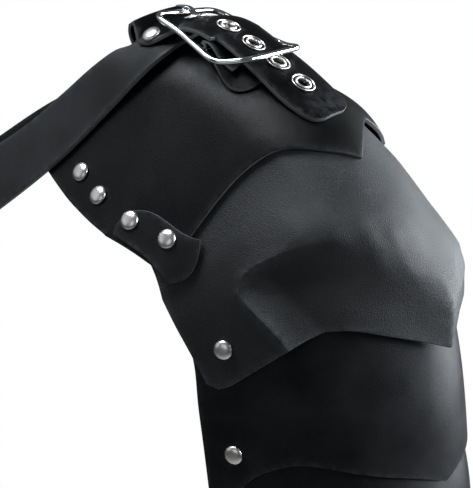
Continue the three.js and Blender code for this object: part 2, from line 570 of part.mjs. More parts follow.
// Neck band that runs on as the chest strap, one closed loop round the torso. The first table lies on the
// plate (mm round the form, mm along it, lift of the band's underside), the second is free in space with
// the direction the strap's outer face looks to.
const BAND_ON_FORM = [
  { round: 0, along: -26, lift: 13.8 },
  { round: 8, along: -26.4, lift: 13.8 },
  { round: 15.5, along: -29.6, lift: 13.9 },
  { round: 25.4, along: -40.8, lift: 12.6 },
  { round: 37.1, along: -55.4, lift: 11.8 },
  { round: 50.6, along: -68.5, lift: 11.4 },
  { round: 63, along: -80.5, lift: 11.4 },
  { round: 75.7, along: -93.8, lift: 11.4 },
];
const CHEST = [
  { x: -123, y: -79.5, z: -93.5, nx: 0.1, ny: -0.9, nz: 0.42 },
  { x: -152, y: -94, z: -117.8, nx: 0.1, ny: -0.96, nz: 0.28 },
  { x: -192, y: -105, z: -146.8, nx: -0.05, ny: -0.99, nz: 0.12 },
  { x: -240, y: -104, z: -175.5, nx: -0.3, ny: -0.95, nz: 0.05 },
  { x: -290, y: -80, z: -201, nx: -0.68, ny: -0.73, nz: 0 },
  { x: -322, y: -34, z: -217, nx: -0.95, ny: -0.3, nz: 0 },
  { x: -326, y: 20, z: -213, nx: -0.96, ny: 0.28, nz: 0 },
  { x: -302, y: 70, z: -182, nx: -0.72, ny: 0.7, nz: 0 },
  { x: -260, y: 101, z: -142, nx: -0.35, ny: 0.94, nz: 0 },
  { x: -214, y: 111, z: -109, nx: -0.1, ny: 1, nz: 0.08 },
  { x: -168, y: 104, z: -92, nx: 0.05, ny: 0.96, nz: 0.25 },
  { x: -130, y: 85, z: -80, nx: 0.08, ny: 0.9, nz: 0.42 },
];
const formStation = (row, side) => ({
  point: onForm(side * row.round, row.along, row.lift + BAND_THICK / 2),
  normal: outOfForm(side * row.round, row.along),
});
const bandStations = [
  ...BAND_ON_FORM.map((row) => formStation(row, 1)),
  ...CHEST.map((row) => ({
    point: new THREE.Vector3(row.x, row.y, row.z),
    normal: new THREE.Vector3(row.nx, row.ny, row.nz).normalize(),
  })),
  ...BAND_ON_FORM.slice(1).reverse().map((row) => formStation(row, -1)),
];
const bandCurve = new THREE.CatmullRomCurve3(bandStations.map((s) => s.point), true, 'centripetal');
const bandNormals = new THREE.CatmullRomCurve3(bandStations.map((s) => s.normal), true, 'catmullrom');
bandCurve.arcLengthDivisions = 1200;
const bandLength = bandCurve.getLength();
function bandFrame(distance) {
  const t = bandCurve.getUtoTmapping(0, distance);
  const point = bandCurve.getPoint(t);
  const tangent = bandCurve.getTangent(t);
  const normal = bandNormals.getPoint(t);
  const side = new THREE.Vector3().crossVectors(normal, tangent).normalize();
  normal.crossVectors(tangent, side).normalize();
  return { point, side, normal };
}
// Where a point lies on the band: distance along it and offset towards the outer side.
function bandPlace(target, from, to) {
  let best = { away: Infinity };
  for (let distance = from; distance < to; distance += 0.1) {
    const { point, side } = bandFrame(distance);
    const away = point.distanceTo(target);
    if (away < best.away) best = { away, distance, offset: target.clone().sub(point).dot(side) };
  }
  return best;
}
const holeFront = bandPlace(foldRivet(1).middle, 5, 40);
const holeBack = bandPlace(foldRivet(-1).middle, bandLength - 40, bandLength - 5);
const bandNear = (hole) => [hole * 0.4, hole - HOLE_HALF, hole + HOLE_HALF,
  26, 28.5, 31, 34, 38, 44, 51, 60, 70, 80, 92, 104];
const bandFar = Array.from({ length: 31 }, (unused, i) => 117 + (bandLength - 234) * i / 30);
const bandRows = [0, ...bandNear(holeFront.distance), ...bandFar,
  ...bandNear(bandLength - holeBack.distance).map((d) => bandLength - d).reverse()];
const bandHalf = through([[40, BAND_WIDTH / 2], [70, BAND_WIDTH / 2 + 1], [110, CHEST_WIDTH / 2],
  [160, CHEST_WIDTH / 2]]);
// The neck side is cut back where the band leaves the fold of the top strap.
const FOLD_INSIDE = -45.4;
const FOLD_REACH = 22;
const inFold = (point) => point.x < FOLD_INSIDE && point.x > FOLD_INSIDE - 30
  && Math.abs(point.y + STRAP_FORWARD) < FOLD_REACH;
const bandFaces = [BAND_THICK / 2, -BAND_THICK / 2].map((offset) => bandRows.map((distance) => {
  const { point, side, normal } = bandFrame(distance);
  const holeOffset = distance < bandLength / 2 ? holeFront.offset : holeBack.offset;
  const half = bandHalf(Math.min(distance, bandLength - distance));
  let neck = -half;
  while (inFold(point.clone().addScaledVector(side, neck))) neck += 0.2;
  const hole = neck + half + holeOffset;
  return [neck, hole - HOLE_HALF, hole + HOLE_HALF, 7.5, half]
    .map((w) => point.clone().addScaledVector(side, w).addScaledVector(normal, offset));
}));
const chestStrap = sheetSolid(bandFaces[0], bandFaces[1], [[2, 1], [bandRows.length - 3, 1]], true);

// Rivet turned about its own axis, its head's underside at the origin.
function rivetGeometry(grip, rise = RIVET_RISE, head = RIVET_HEAD / 2) {
  const shank = RIVET_SHANK / 2;
  const back = RIVET_BACK / 2;
  const profile = [
    [0, -grip - 1.1], [back - 0.5, -grip - 0.9], [back, -grip], [shank, -grip], [shank, 0],
    [head, 0], [head - 0.35, rise * 0.45], [head * 0.6, rise * 0.85], [0, rise],
  ].map(([r, y]) => new THREE.Vector2(r, y));
  return bare(new THREE.LatheGeometry(profile, 8));
}

function eyeletGeometry() {
  const outer = EYELET_OUTER / 2;
  const inner = EYELET_INNER / 2;
  const barrel = inner + 0.8;
  const profile = [
    [inner, 0.3 - STRAP_THICK], [barrel, 0.3 - STRAP_THICK], [barrel, 0.4], [outer, 0.4],
    [outer - 0.3, 0.9],
    [outer - 1.4, 1.4], [inner + 0.9, 1.3], [inner, 0.6], [inner, 0.3 - STRAP_THICK],
  ].map(([r, y]) => new THREE.Vector2(r, y));
  return bare(new THREE.LatheGeometry(profile, 10));
}

const UP = new THREE.Vector3(0, 1, 0);
function standOn(mesh, point, normal) {
  mesh.position.copy(point);
  mesh.quaternion.setFromUnitVectors(UP, normal);
  return mesh;
}

// Buckle frame: a closed loop of round bar, low at the centre bar and raised at both ends.
const FRAME_HALF_TURN = [
  { along: -24.5, across: 0, lift: 24.2 },
  { along: -24.5, across: 10, lift: 24.2 },
  { along: -24.5, across: 17.5, lift: 24.2 },
  { along: -23.3, across: 21.9, lift: 23.8 },
  { along: -19.5, across: 23.9, lift: 22.2 },
  { along: -9, across: 25.4, lift: 18.2 },
  { along: 0, across: 26.8, lift: 15.4 },
  { along: 4, across: 27.4, lift: 14.9 },
  { along: 10, across: 28.4, lift: 14 },
  { along: 15.5, across: 28.8, lift: 13.8 },
  { along: 20, across: 27.6, lift: 14.4 },
  { along: 25, across: 25, lift: 16.4 },
  { along: 29.5, across: 22.4, lift: 18.8 },
  { along: 32.5, across: 19.8, lift: 20.3 },
  { along: 33.5, across: 16.4, lift: 20.9 },
  { along: 33.5, across: 8, lift: 20.9 },
  { along: 33.5, across: 0, lift: 20.9 },
];
const frameTurn = [
  ...FRAME_HALF_TURN,
  ...FRAME_HALF_TURN.slice(1, -1).reverse().map((row) => ({ ...row, across: -row.across })),
];
const frameRoll = through([[-27, 8], [-10, 6], [4, STRAP_ROLL], [16, 2.5], [33, 0.5]]);
const frameYaw = through([[-27, 0.09], [0, 0], [8, 0], [33, 0.07]]);
const frameCurve = new THREE.CatmullRomCurve3(frameTurn.map(({ along, across, lift }) => {
  return atStrap(along - across * frameYaw(along), lift, across, frameRoll(along));
}), true);
function frameGeometry() {
  const rings = 44;
  const sides = 8;
  const points = [];
  const triangles = [];
  for (let i = 0; i < rings; i += 1) {
    const point = frameCurve.getPointAt(i / rings);
    const tangent = frameCurve.getTangentAt(i / rings);
    const side = new THREE.Vector3().crossVectors(tangent, spineAt(BUCKLE_BAR_ALONG).normal).normalize();
    const up = new THREE.Vector3().crossVectors(side, tangent).normalize();
    for (let k = 0; k < sides; k += 1) {
      const angle = (k + 0.5) / sides * Math.PI * 2;
      const reach = BUCKLE_WIRE / 2 / Math.cos(Math.PI / sides);
      points.push(point.clone().addScaledVector(side, reach * Math.cos(angle)).addScaledVector(up,
        reach * Math.sin(angle)));
      const next = (k + 1) % sides;
      const row = i * sides;
      const after = ((i + 1) % rings) * sides;
      triangles.push([row + k, after + k, after + next], [row + k, after + next, row + next]);
    }
  }
  return solid(points, triangles);
}

const wasm = await Module();
wasm.setup();
function toManifold(geometry) {
  return new wasm.Manifold(new wasm.Mesh({
    numProp: 3,
    vertProperties: Float32Array.from(geometry.getAttribute('position').array),
    triVerts: Uint32Array.from(geometry.getIndex().array),
  }));
}
function fromManifold(body) {
  const mesh = body.getMesh();
  const geometry = new THREE.BufferGeometry();
  geometry.setAttribute('position', new THREE.Float32BufferAttribute(mesh.vertProperties, 3));
  geometry.setIndex(Array.from(mesh.triVerts));
  return facingOut(geometry);
}

function barGeometry() {
  const near = atStrap(BUCKLE_BAR_ALONG, BUCKLE_BAR_LIFT, 27.2);
  const far = atStrap(BUCKLE_BAR_ALONG, BUCKLE_BAR_LIFT, -27.2);
  const cylinder = new THREE.CylinderGeometry(BUCKLE_WIRE / 2, BUCKLE_WIRE / 2, near.distanceTo(far), 10);
  const direction = near.clone().sub(far).normalize();
  cylinder.applyQuaternion(new THREE.Quaternion().setFromUnitVectors(UP, direction));
  const middle = near.add(far).multiplyScalar(0.5);
  cylinder.translate(middle.x, middle.y, middle.z);
  return bare(cylinder);
}
const buckleFrame = fromManifold(toManifold(frameGeometry()).add(toManifold(barGeometry())));

// Prong: a ring about the centre bar with an arm up through the first eyelet onto the end bar.
const PRONG_ARM = [
  { along: -2, lift: 17.2 },
  { along: -8, lift: 18.6 },
  { along: -12, lift: 18.2 },
  { along: -14.3, lift: 18.8 },
  { along: -18.6, lift: 25.6 },
  { along: -22, lift: 27.4 },
  { along: -28.5, lift: 27.3 },
];
function prongGeometry() {
  const ring = BUCKLE_WIRE / 2 + 0.3;
  const reach = ring + 1.5;
  const outline = [];
  for (let degrees = 185; degrees <= 505; degrees += 20) {
    const angle = THREE.MathUtils.degToRad(degrees);
    outline.push([BUCKLE_BAR_ALONG + reach * Math.cos(angle), BUCKLE_BAR_LIFT + reach * Math.sin(angle)]);
  }
  const sides = [1, -1].map((side) => PRONG_ARM.map((row, i) => {
    const before = PRONG_ARM[Math.max(i - 1, 0)];
    const after = PRONG_ARM[Math.min(i + 1, PRONG_ARM.length - 1)];
    const direction = new THREE.Vector2(after.along - before.along, after.lift - before.lift).normalize();
    const half = side * PRONG_THICK / 2 * (i === PRONG_ARM.length - 1 ? 0.6 : 1);
    return [row.along + direction.y * half, row.lift - direction.x * half];
  }));
  outline.push(...sides[0], ...sides[1].reverse());
  const shape = new THREE.Shape(outline.map(([x, y]) => new THREE.Vector2(x, y)));
  const eye = new THREE.Path();
  eye.absarc(BUCKLE_BAR_ALONG, BUCKLE_BAR_LIFT, ring, 0, Math.PI * 2, true);
  shape.holes.push(eye);
  const extruded = bare(new THREE.ExtrudeGeometry(shape, { depth: PRONG_WIDTH, bevelEnabled: false,
    curveSegments: 6 }));
  const position = extruded.getAttribute('position');
  for (let i = 0; i < position.count; i += 1) {
    const p = atStrap(position.getX(i), position.getY(i), position.getZ(i) - PRONG_WIDTH / 2);
    position.setXYZ(i, p.x, p.y, p.z);
  }
  return facingOut(extruded);
}

const leather = (color, roughness) => new THREE.MeshStandardMaterial({ color, roughness, metalness: 0 });
const smoothLeather = () => leather(0x27282c, 0.42);
const pebbledLeather = () => leather(0x303136, 0.72);
const nickel = () => new THREE.MeshStandardMaterial({ color: 0xc8c5bf, roughness: 0.28, metalness: 1 });
const chrome = () => new THREE.MeshStandardMaterial({ color: 0xe1e3e6, roughness: 0.12, metalness: 1 });

const pauldron = new THREE.Group();
function add(name, geometry, material) {
  const mesh = new THREE.Mesh(geometry, material);
  mesh.name = name;
  pauldron.add(mesh);
  return mesh;
}

add('shoulder_plate', plate, smoothLeather());
add('tab_front', tabPiece(1), smoothLeather());
add('tab_back', tabPiece(-1), smoothLeather());
add('lame_upper', upperLame, pebbledLeather());
add('lame_middle', middleLame, smoothLeather());
add('lame_lower', lowerLame, smoothLeather());
add('chest_strap', chestStrap, smoothLeather());
add('top_strap', topStrap, smoothLeather());
add('chape', chape, smoothLeather());
add('buckle_frame', buckleFrame, chrome());
add('buckle_prong', prongGeometry(), chrome());

eyeletDistance.forEach((distance, i) => {
  const point = strapPath.getPointAt(distance / strapLength);
  const tangent = strapPath.getTangentAt(distance / strapLength);
  const along = point.x + tangent.y * STRAP_THICK / 2;
  const lift = point.y - tangent.x * STRAP_THICK / 2;
  const top = atStrap(along, lift, 0);
  const normal = atStrap(along + tangent.y, lift - tangent.x, 0).sub(top).normalize();
  const roll = THREE.MathUtils.degToRad(strapRoll(distance));
  normal.applyAxisAngle(new THREE.Vector3(normal.z, 0, -normal.x).normalize(), -roll);
  standOn(add(`eyelet_${i + 1}`, eyeletGeometry(), nickel()), top, normal);
});

// Each rivet's head stands on its outermost layer, its back cap under the innermost one.
const stacks = {
  plate_upper: { top: PLATE_LIFT, under: PLATE_LIFT - LEATHER },
  plate_lower: { top: PLATE_LIFT, under: PLATE_LIFT - LEATHER },
  tab_inner: { top: TAB_LIFT, under: PLATE_LIFT - LEATHER },
  tab_outer: { top: TAB_LIFT, under: UPPER_LIFT - LEATHER },
  lame_upper: { top: UPPER_LIFT, under: MIDDLE_LIFT - LEATHER },
  lame_middle: { top: MIDDLE_LIFT, under: LOWER_LIFT - LEATHER },
};
for (const [name, { round, along }] of Object.entries(RIVETS)) {
  const { top, under } = stacks[name];
  for (const [side, sign] of [['front', 1], ['back', -1]]) {
    const rivet = add(`rivet_${name}_${side}`, rivetGeometry(top - under + 1.1), nickel());
    const out = outOfForm(sign * round, along);
    standOn(rivet, onForm(sign * round, along, top + 0.4), out);
  }
}
for (const [side, sign] of [['front', 1], ['back', -1]]) {
  const { top, bottom } = foldRivet(sign);
  const out = top.clone().sub(bottom).normalize();
  const rivet = add(`rivet_fold_${side}`, rivetGeometry(top.distanceTo(bottom) + 1.6), nickel());
  standOn(rivet, top.addScaledVector(out, 1), out);
}

export default pauldron;
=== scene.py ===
"""Dresses the leather pauldron: smooth sheets, turned studs and eyelets, a wire buckle, a soft studio."""
import json
import math

import bmesh
import bpy
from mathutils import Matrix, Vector
from mathutils.kdtree import KDTree

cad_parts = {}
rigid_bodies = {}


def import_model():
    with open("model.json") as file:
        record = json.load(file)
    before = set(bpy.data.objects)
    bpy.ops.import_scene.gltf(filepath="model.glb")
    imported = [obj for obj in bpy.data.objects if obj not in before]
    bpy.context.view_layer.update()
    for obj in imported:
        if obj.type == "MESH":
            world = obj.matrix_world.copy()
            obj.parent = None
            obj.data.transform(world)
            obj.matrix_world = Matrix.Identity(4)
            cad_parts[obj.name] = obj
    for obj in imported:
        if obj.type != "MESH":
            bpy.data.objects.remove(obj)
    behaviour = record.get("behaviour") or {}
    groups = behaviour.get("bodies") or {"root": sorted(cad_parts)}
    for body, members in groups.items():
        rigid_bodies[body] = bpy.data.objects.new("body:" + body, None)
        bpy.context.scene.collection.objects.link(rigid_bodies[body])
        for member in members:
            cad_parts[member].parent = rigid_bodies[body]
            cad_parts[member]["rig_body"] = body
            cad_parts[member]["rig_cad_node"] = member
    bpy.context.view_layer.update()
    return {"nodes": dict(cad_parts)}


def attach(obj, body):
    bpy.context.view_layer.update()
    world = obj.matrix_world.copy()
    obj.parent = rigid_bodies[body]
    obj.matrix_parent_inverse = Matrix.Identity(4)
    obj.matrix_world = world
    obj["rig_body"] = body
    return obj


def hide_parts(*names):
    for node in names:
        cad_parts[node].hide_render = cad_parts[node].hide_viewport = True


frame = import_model()
MM = 0.001

# Copies of the solids
MERGE_DISTANCE = 0.02 * MM
QUAD_FACE_ANGLE = math.radians(38)
QUAD_SHAPE_ANGLE = math.radians(60)
SUBDIVISIONS = 2
BEVEL_SEGMENTS = 2
BEVEL_BEND = math.radians(50)

# Leather sheets: an edge that bends more than these is cut, a fold, a fold's crest or shaded sharp
CUT_BEND = math.radians(52)
FOLD_BEND = math.radians(14)
CREST_BEND = math.radians(40)
SHADING_BEND = math.radians(55)
# A cut edge that turns more than this has a corner.
CORNER_TURN = math.radians(34)
FULL_CREASE = 1.0
FOLD_CREASE = 0.55
WIDEST_RIM = 3.4 * MM
RIM_ROUNDING = 0.4 * MM
# The places of a sheet's two materials.
HIDE_FACE = 0
CUT_FACE = 1

# Wear: at its reach it has fallen to about a third
RIM_WEAR_REACH = 2.2 * MM
# Reach and strength of the painted highlight along a fold's crest, and of the painted sheen at the strap's
# tip, both laid on as paler leather colour.
CREST_HIGHLIGHTS = [(1.8 * MM, 1.0), (6 * MM, 0.6)]
TIP_SHEEN = (17 * MM, 1.0)
CREST_STEPS = 4

# Hides and metals: pebbles in a metre, then strengths and depths of the grain, fibres and scratches
SMOOTH_PEBBLES = 1150.0
SMOOTH_RELIEF = 0.2
NOISE_MIDDLE = 0.5
FINE_GRAIN_SHARE = 0.5
GRAIN_STRETCH = 4 * MM
GRAIN_DEPTH = 0.3 * MM
FIBRE_RELIEF = 0.35
FIBRE_DEPTH = 0.2 * MM
FIBRE_ROUGHNESS = 0.5
SCRATCH_DEPTH = 0.1 * MM

# Turned metal: rows of radius and height in mm from the underside of the head or washer
STUD_RADIUS = 5.0
STUD_SIDES = 20
STUD_PROFILE = [
    (3.0, -0.35), (4.55, -0.25), (4.95, 0.1), (STUD_RADIUS, 0.45), (4.8, 0.95), (4.1, 1.6), (2.9, 2.1),
    (1.4, 2.36),
]
EYELET_SIDES = 24
# The washer's rim, a shallow groove, then the rolled lip down into the hole and back up outside.
EYELET_PROFILE = [
    (6.2, -0.3), (6.9, -0.1), (7.05, 0.3), (6.9, 0.68), (6.5, 0.74), (6.15, 0.5),
    (6.0, 0.1), (4.85, 0.1),
    (4.7, 0.6), (4.4, 0.98), (3.95, 1.02), (3.6, 0.75), (3.45, 0.1), (3.4, -2.3), (4.1, -2.4), (4.25, -0.6),
]
# Faces in this band of the washer get near-black metal: a painted dark reflection in the groove.
GROOVE_INNER = 4.75
GROOVE_OUTER = 6.1
GROOVE_TOP = 0.35
DARK_REFLECTION_FACE = 1
# An eyelet's solid has ten sides, so the ten corners furthest from its middle are the washer's rim.
SOLID_EYELET_SIDES = 10
# Corners of a solid are told apart to a thousandth of a millimetre.
CORNER_DIGITS = 6
PRONG_ROUNDING = 0.5 * MM

# Studio: places and sizes in metres, the camera's lens and sensor in mm
VIEW_FROM = Vector((0.6040, -0.7198, 0.3420))
LOOK_AT = Vector((0.028895, -0.023961, -0.101460))
CAMERA_DISTANCE = 1.5
CAMERA_LENS = 201.4
SENSOR_WIDTH = 36
FLOOR_SIZE = 9
FLOOR_HEIGHT = -1.2
FLOOR_GREY = (0.35, 0.35, 0.34, 1)
FLOOR_ROUGHNESS = 0.9
WHITE = (1, 1, 1, 1)
ROOM_COLOUR = (0.93, 0.97, 1.0, 1)
ROOM_STRENGTH = 0.08
LIT_POINT = Vector((0.05, 0.0, -0.12))
LIGHT_DISTANCE = 1.3
DAYLIGHT = (0.935, 1.0, 1.05)
# Name, direction from the pauldron, width and power of each softbox.
SOFTBOXES = [
    ("right_back", (0.35, 0.93, 0.1), 0.8, 29),
    ("right_side", (0.62, 0.78, 0.0), 0.7, 7),
    ("right_up", (0.9, 0.25, 0.4), 0.6, 14),
    ("right_high", (0.75, 0.55, 0.36), 0.6, 12),
    ("top_left", (-0.4, -0.2, 0.88), 0.6, 18),
    ("front", (0.2, -0.93, 0.3), 0.7, 1),
    ("left_front", (-0.6, -0.75, 0.3), 0.7, 0.8),
    ("left", (-0.88, -0.3, 0.36), 0.8, 0.6),
]


def only(piece):
    """Leaves just this piece selected and active."""
    bpy.ops.object.select_all(action="DESELECT")
    piece.select_set(True)
    bpy.context.view_layer.objects.active = piece


def edit(piece, part="VERT"):
    """Opens the piece for editing with nothing selected."""
    only(piece)
    bpy.ops.object.mode_set(mode="EDIT")
    bpy.ops.mesh.select_mode(type=part)
    bpy.ops.mesh.select_all(action="DESELECT")


def close():
    """Ends the editing of the piece that is open."""
    bpy.ops.object.mode_set(mode="OBJECT")


def apply(piece, kind, **values):
    """Adds a modifier, sets its values and applies it."""
    only(piece)
    modifier = piece.modifiers.new(kind.lower(), kind)
    for name, value in values.items():
        setattr(modifier, name, value)
    bpy.ops.object.modifier_apply(modifier=modifier.name)


def subdivide(piece):
    apply(piece, "SUBSURF", levels=SUBDIVISIONS, render_levels=SUBDIVISIONS)


def round_edges(piece, width, **values):
    apply(piece, "BEVEL", width=width, segments=BEVEL_SEGMENTS, limit_method="ANGLE",
          angle_limit=BEVEL_BEND, **values)


def settle(piece, node):
    """The piece stands for its solid and rides on the one body."""
    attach(piece, "root")
    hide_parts(node)


def nodes_named(start):
    """The names of the solids that start this way, in order."""
    return sorted(name for name in frame["nodes"] if name.startswith(start))


def copy_of(node, name):
    """A copy of a solid with its corners merged and its triangles paired into quads."""
    only(frame["nodes"][node])
    bpy.ops.object.duplicate()
    piece = bpy.context.active_object
    piece.name = name
    piece.parent = None
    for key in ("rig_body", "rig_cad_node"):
        del piece[key]
    piece.data.materials.clear()
    bpy.ops.mesh.customdata_custom_splitnormals_clear()
    edit(piece)
    bpy.ops.mesh.select_all(action="SELECT")
    bpy.ops.mesh.remove_doubles(threshold=MERGE_DISTANCE)
    bpy.ops.mesh.tris_convert_to_quads(face_threshold=QUAD_FACE_ANGLE, shape_threshold=QUAD_SHAPE_ANGLE)
    bpy.ops.mesh.faces_shade_smooth()
    close()
    return piece


# Shader groups
def new_group(name, inputs, outputs):
    """A shader group with its named inputs and outputs."""
    group = bpy.data.node_groups.new(name, "ShaderNodeTree")
    for socket, kind, value in inputs:
        made = group.interface.new_socket(socket, in_out="INPUT", socket_type=kind)
        if value is not None:
            made.default_value = value
    for socket, kind in outputs:
        group.interface.new_socket(socket, in_out="OUTPUT", socket_type=kind)
    return group, group.nodes.new("NodeGroupInput"), group.nodes.new("NodeGroupOutput")


def add_node(tree, kind, values=None, **settings):
    """A shader node with its settings, and the values of the sockets that nothing feeds."""
    made = tree.nodes.new(kind)
    for name, value in settings.items():
        setattr(made, name, value)
    for socket, value in (values or {}).items():
        made.inputs[socket].default_value = value
    return made


def math_node(tree, operation, first, second, clamp=False):
    """The result of an operation on two values, each a number or another node's output."""
    made = add_node(tree, "ShaderNodeMath", operation=operation, use_clamp=clamp)
    for socket, value in zip(made.inputs, (first, second)):
        if isinstance(value, (int, float)):
            socket.default_value = value
        else:
            tree.links.new(value, socket)
    return made.outputs[0]


def leather_grain_group():
    """Pebbles of leather grain and slow mottling over the hide."""
    group, given, out = new_group(
        "leather_grain",
        [("Vector", "NodeSocketVector", None), ("Pebbles per metre", "NodeSocketFloat", SMOOTH_PEBBLES),
         ("Stretch", "NodeSocketFloat", 0.3)],
        [("Height", "NodeSocketFloat"), ("Mottle", "NodeSocketFloat")],
    )
    link = group.links.new
    bend = add_node(group, "ShaderNodeTexNoise", {"Scale": 160.0, "Detail": 2.0})
    link(given.outputs["Vector"], bend.inputs["Vector"])
    shift = add_node(group, "ShaderNodeVectorMath", {1: (-NOISE_MIDDLE,) * 3}, operation="ADD")
    link(bend.outputs["Color"], shift.inputs[0])
    sized = add_node(group, "ShaderNodeVectorMath", operation="SCALE")
    link(shift.outputs[0], sized.inputs[0])
    link(math_node(group, "MULTIPLY", given.outputs["Stretch"], GRAIN_STRETCH), sized.inputs["Scale"])
    moved = add_node(group, "ShaderNodeVectorMath", operation="ADD")
    link(given.outputs["Vector"], moved.inputs[0])
    link(sized.outputs[0], moved.inputs[1])
    cells = add_node(group, "ShaderNodeTexVoronoi", feature="DISTANCE_TO_EDGE")
    link(moved.outputs[0], cells.inputs["Vector"])
    link(given.outputs["Pebbles per metre"], cells.inputs["Scale"])
    pebble = add_node(group, "ShaderNodeMapRange", {"From Max": 0.32}, interpolation_type="SMOOTHSTEP")
    link(cells.outputs["Distance"], pebble.inputs["Value"])
    fine = add_node(group, "ShaderNodeTexNoise", {"Scale": 2600.0, "Detail": 2.0})
    link(given.outputs["Vector"], fine.inputs["Vector"])
    fine_height = math_node(group, "MULTIPLY", fine.outputs["Fac"], FINE_GRAIN_SHARE)
    link(math_node(group, "ADD", pebble.outputs[0], fine_height), out.inputs["Height"])
    slow = add_node(group, "ShaderNodeTexNoise", {"Scale": 34.0, "Detail": 4.0, "Roughness": 0.55})
    link(given.outputs["Vector"], slow.inputs["Vector"])
    mottle = add_node(group, "ShaderNodeMapRange", {"From Min": 0.32, "From Max": 0.68})
    link(slow.outputs["Fac"], mottle.inputs["Value"])
    link(mottle.outputs[0], out.inputs["Mottle"])
    return group


def wear_and_sheen_group():
    """How much paler finish a place gets: scuffed leather at the cut edges, painted highlight along fold
    crests and painted sheen at the strap's tip, broken up by small scuffs.
    """
    group, given, out = new_group(
        "edge_wear_and_painted_sheen",
        [("Vector", "NodeSocketVector", None), ("Nearness", "NodeSocketFloat", 0.0)],
        [("Wear", "NodeSocketFloat")],
    )
    link = group.links.new
    scuffs = add_node(group, "ShaderNodeTexNoise", {"Scale": 210.0, "Detail": 5.0, "Roughness": 0.65})
    link(given.outputs["Vector"], scuffs.inputs["Vector"])
    broken = add_node(group, "ShaderNodeMapRange", {"From Min": 0.35, "From Max": 0.72})
    link(scuffs.outputs["Fac"], broken.inputs["Value"])
    wear_and_sheen = math_node(group, "MULTIPLY", given.outputs["Nearness"], broken.outputs[0], clamp=True)
    link(wear_and_sheen, out.inputs["Wear"])
    return group


def handling_group():
    """Smears and fine scratches that handling leaves on plated metal."""
    group, given, out = new_group(
        "handling",
        [("Vector", "NodeSocketVector", None)],
        [("Smear", "NodeSocketFloat"), ("Height", "NodeSocketFloat")],
    )
    link = group.links.new
    smear = add_node(group, "ShaderNodeTexNoise", {"Scale": 260.0, "Detail": 4.0, "Distortion": 0.6})
    link(given.outputs["Vector"], smear.inputs["Vector"])
    link(smear.outputs["Fac"], out.inputs["Smear"])
    squeeze = add_node(group, "ShaderNodeMapping", {"Scale": (1.0, 7.0, 1.0), "Rotation": (0.4, 0.2, 0.7)})
    link(given.outputs["Vector"], squeeze.inputs["Vector"])
    scratch = add_node(group, "ShaderNodeTexNoise", {"Scale": 900.0, "Detail": 2.0})
    link(squeeze.outputs[0], scratch.inputs["Vector"])
    link(scratch.outputs["Fac"], out.inputs["Height"])
    return group


GRAIN = leather_grain_group()
WEAR_AND_SHEEN = wear_and_sheen_group()
HANDLING = handling_group()


# Materials, with the places of a mix node's colour sockets
MIX_FACTOR = 0
MIX_LOW = 6
MIX_HIGH = 7
MIX_RESULT = 2


def new_material(name):
    """A material with its tree, its shader and the place on the object that its patterns follow."""
    material = bpy.data.materials.new(name)
    material.use_nodes = True
    tree = material.node_tree
    shader = tree.nodes["Principled BSDF"]
    place = add_node(tree, "ShaderNodeTexCoord").outputs["Object"]
    return material, tree, shader, place


def mixed_colour(tree, factor, low, high):
    """A colour between two, each of them three numbers or another node's output."""
    mix = add_node(tree, "ShaderNodeMix", data_type="RGBA")
    tree.links.new(factor, mix.inputs[MIX_FACTOR])
    for socket, colour in ((MIX_LOW, low), (MIX_HIGH, high)):
        if isinstance(colour, tuple):
            mix.inputs[socket].default_value = (*colour, 1)
        else:
            tree.links.new(colour, mix.inputs[socket])
    return mix.outputs[MIX_RESULT]


def set_roughness(tree, shader, pattern, smoothest, roughest):
    rough = add_node(tree, "ShaderNodeMapRange", {"To Min": smoothest, "To Max": roughest})
    tree.links.new(pattern, rough.inputs["Value"])
    tree.links.new(rough.outputs[0], shader.inputs["Roughness"])


def set_bump(tree, shader, height, relief, depth):
    bump = add_node(tree, "ShaderNodeBump", {"Strength": relief, "Distance": depth})
    tree.links.new(height, bump.inputs["Height"])
    tree.links.new(bump.outputs[0], shader.inputs["Normal"])


def leather(name, deep, pale, worn_and_sheen_colour, smoothest, roughest, specular,
            pebbles=SMOOTH_PEBBLES, relief=SMOOTH_RELIEF):
    """Dyed hide: deep and pale are the mottled dye; the third colour goes on scuffed cut edges and, as
    painted highlight and sheen, on fold crests and the strap's tip.
    """
    material, tree, shader, place = new_material(name)
    link = tree.links.new
    grain = add_node(tree, "ShaderNodeGroup", node_tree=GRAIN)
    grain.inputs["Pebbles per metre"].default_value = pebbles
    link(place, grain.inputs["Vector"])
    near = add_node(tree, "ShaderNodeAttribute", attribute_name="wear_and_sheen_near")
    wear_sheen_node = add_node(tree, "ShaderNodeGroup", node_tree=WEAR_AND_SHEEN)
    link(place, wear_sheen_node.inputs["Vector"])
    link(near.outputs["Fac"], wear_sheen_node.inputs["Nearness"])
    dye = mixed_colour(tree, grain.outputs["Mottle"], deep, pale)
    link(mixed_colour(tree, wear_sheen_node.outputs["Wear"], dye, worn_and_sheen_colour), shader.inputs["Base Color"])
    set_roughness(tree, shader, grain.outputs["Mottle"], smoothest, roughest)
    set_bump(tree, shader, grain.outputs["Height"], relief, GRAIN_DEPTH)
    shader.inputs["Specular IOR Level"].default_value = specular
    return material


def cut_edge_lit(name, dark, light):
    """The sheet's raw edge: fibres paler than the dyed face, partly their own colour and partly a painted
    highlight of the edge catching light.
    """
    material, tree, shader, place = new_material(name)
    fibres = add_node(tree, "ShaderNodeTexNoise", {"Scale": 1500.0, "Detail": 3.0})
    tree.links.new(place, fibres.inputs["Vector"])
    tree.links.new(mixed_colour(tree, fibres.outputs["Fac"], dark, light), shader.inputs["Base Color"])
    set_bump(tree, shader, fibres.outputs["Fac"], FIBRE_RELIEF, FIBRE_DEPTH)
    shader.inputs["Roughness"].default_value = FIBRE_ROUGHNESS
    return material


